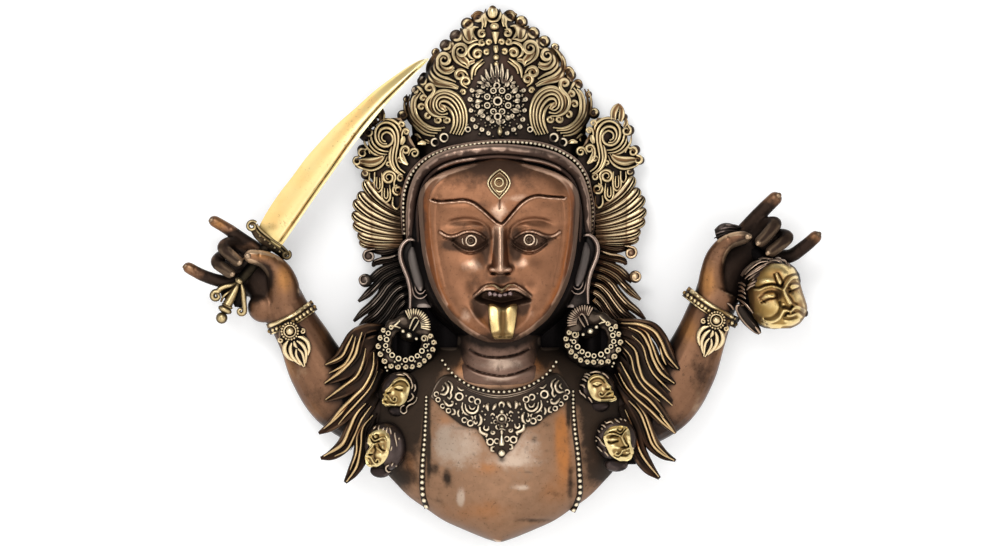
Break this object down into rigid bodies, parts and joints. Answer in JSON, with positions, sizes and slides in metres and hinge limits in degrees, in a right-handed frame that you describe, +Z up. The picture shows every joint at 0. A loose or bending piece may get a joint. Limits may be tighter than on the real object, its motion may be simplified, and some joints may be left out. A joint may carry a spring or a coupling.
{
  "type": "kali figure",
  "caption": "Wall-hung cast bust of a goddess with crown, fanned hair, garland heads and two raised arms, one fist holding a curved sword and the other a severed head.",
  "frame": {"origin": "on the flat back of the crown, at its middle, where the plaque hangs on its wall", "axes": "+X to the viewer's right, +Y into the wall, +Z up"},
  "size_m": [0.7042, 0.164, 0.588],
  "materials": {
    "figure": "copper-brown patina, darkened in the recesses, ridges rubbed to gold",
    "sword": "pale rubbed brass with fine dark specks",
    "severed_head": "gold-brown brass with dark hair and creases"
  },
  "bodies": {
    "root": {"figure": "figure", "sword": "sword", "severed_head": "severed_head"}
  },
  "joints": []
}
